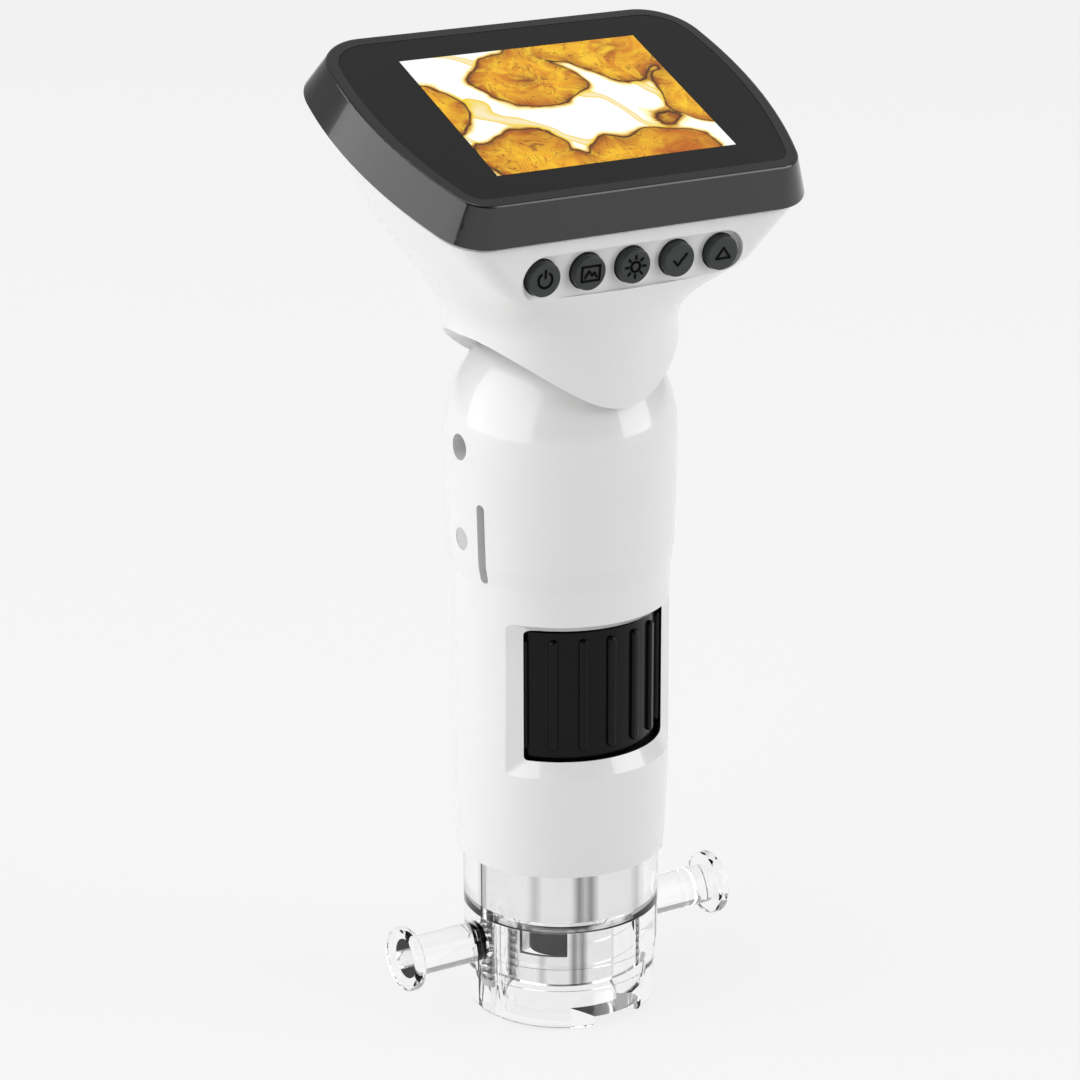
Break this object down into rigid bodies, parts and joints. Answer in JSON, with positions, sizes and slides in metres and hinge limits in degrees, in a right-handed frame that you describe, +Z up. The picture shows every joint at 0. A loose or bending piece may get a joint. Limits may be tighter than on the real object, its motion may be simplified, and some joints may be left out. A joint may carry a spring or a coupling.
{
  "type": "digital microscope",
  "caption": "Hand-held digital microscope: slim handle with a ribbed focus wheel, clear sprung foot with side pins, and a wide tilting screen head with a row of round buttons.",
  "frame": {"origin": "centre of the foot's lower face, on the optical axis: the mouth of the foot bore", "axes": "+Z up the optical axis, -Y the way the screen and the buttons face, +X to the right of someone reading the screen"},
  "size_m": [0.0708, 0.0458, 0.1532],
  "materials": {
    "white_plastic": "smooth, softly glossy",
    "black_gloss": "polished black",
    "black_matte": "fine matte",
    "button_black": "fine matte with raised symbols",
    "wheel_black": "fine matte",
    "clear_plastic": "clear, polished",
    "cover_glass": "tinted cover glass",
    "lens_glass": "coated lens glass",
    "display": "lit display",
    "diffuser_white": "milky",
    "reflector_pearl": "satin metallised",
    "steel": "brushed",
    "spring_steel": "drawn wire",
    "nickel": "nickel plated",
    "board_green": "solder mask",
    "chip_black": "moulded",
    "light_body": "lamp body with phosphor",
    "battery_foil": "foil pouch",
    "fibre": "pressed fibre"
  },
  "bodies": {
    "handle": {"front_shell": "white_plastic", "rear_shell": "white_plastic", "handle_screws": "steel", "clear_collar": "clear_plastic", "light_diffuser": "reflector_pearl", "led_board": "board_green", "leds": "light_body", "guide_posts": "steel", "lens_guide": "black_matte", "sensor_frame": "black_matte", "sensor_board": "board_green", "image_sensor": "chip_black", "main_board": "board_green", "board_chips": "chip_black", "card_socket": "nickel", "charge_socket": "nickel", "status_light": "light_body", "light_pipe": "clear_plastic", "hinge_pin": "steel", "friction_washers": "fibre"},
    "head": {"head_shell": "white_plastic", "screen_bezel": "black_gloss", "screen_glass": "cover_glass", "display_panel": "display", "backlight_tray": "diffuser_white", "control_board": "board_green", "control_chips": "chip_black", "battery": "battery_foil", "button_board": "board_green", "button_switches": "chip_black", "board_screws": "steel", "hinge_bracket": "black_matte", "bracket_screws": "steel"},
    "focus_wheel": {"focus_wheel": "wheel_black"},
    "lens": {"lens_barrel": "black_matte", "lens_nose": "black_matte", "objective_lens": "lens_glass", "lens_spacer": "black_matte", "rear_lens": "lens_glass", "lens_ring": "black_matte"},
    "holder": {"specimen_holder": "clear_plastic", "light_hood": "reflector_pearl", "left_pin": "clear_plastic", "right_pin": "clear_plastic", "return_springs": "spring_steel"},
    "button_power": {"button_power": "button_black"},
    "button_capture": {"button_capture": "button_black"},
    "button_light": {"button_light": "button_black"},
    "button_confirm": {"button_confirm": "button_black"},
    "button_up": {"button_up": "button_black"}
  },
  "joints": [
    {"name": "head_tilt", "type": "hinge", "parent": "handle", "child": "head", "pos_m": [0, 0, 0.094], "axis": [1, 0, 0], "range_deg": [-20, 30]},
    {"name": "focus_turn", "type": "hinge", "parent": "handle", "child": "focus_wheel", "pos_m": [0, 0, 0.055], "axis": [0, 0, 1], "range_deg": [-150, 150]},
    {"name": "lens_focus", "type": "slide", "parent": "handle", "child": "lens", "axis": [0, 0, 1], "range_m": [-0.003, 0.003]},
    {"name": "holder_pull", "type": "slide", "parent": "handle", "child": "holder", "axis": [0, 0, -1], "range_m": [0, 0.003], "stiffness_N_per_m": 250, "springref_m": -0.004, "deforming": ["return_springs"]},
    {"name": "press_power", "type": "slide", "parent": "head", "child": "button_power", "axis": [0, 0.9925, 0.1219], "range_m": [0, 0.0005], "stiffness_N_per_m": 2000, "springref_m": -0.0002},
    {"name": "press_capture", "type": "slide", "parent": "head", "child": "button_capture", "axis": [0, 0.9925, 0.1219], "range_m": [0, 0.0005], "stiffness_N_per_m": 2000, "springref_m": -0.0002},
    {"name": "press_light", "type": "slide", "parent": "head", "child": "button_light", "axis": [0, 0.9925, 0.1219], "range_m": [0, 0.0005], "stiffness_N_per_m": 2000, "springref_m": -0.0002},
    {"name": "press_confirm", "type": "slide", "parent": "head", "child": "button_confirm", "axis": [0, 0.9925, 0.1219], "range_m": [0, 0.0005], "stiffness_N_per_m": 2000, "springref_m": -0.0002},
    {"name": "press_up", "type": "slide", "parent": "head", "child": "button_up", "axis": [0, 0.9925, 0.1219], "range_m": [0, 0.0005], "stiffness_N_per_m": 2000, "springref_m": -0.0002}
  ],
  "couplings": [
    {"joint": "focus_turn", "follows": "lens_focus", "rad_per_m": 872.66}
  ]
}
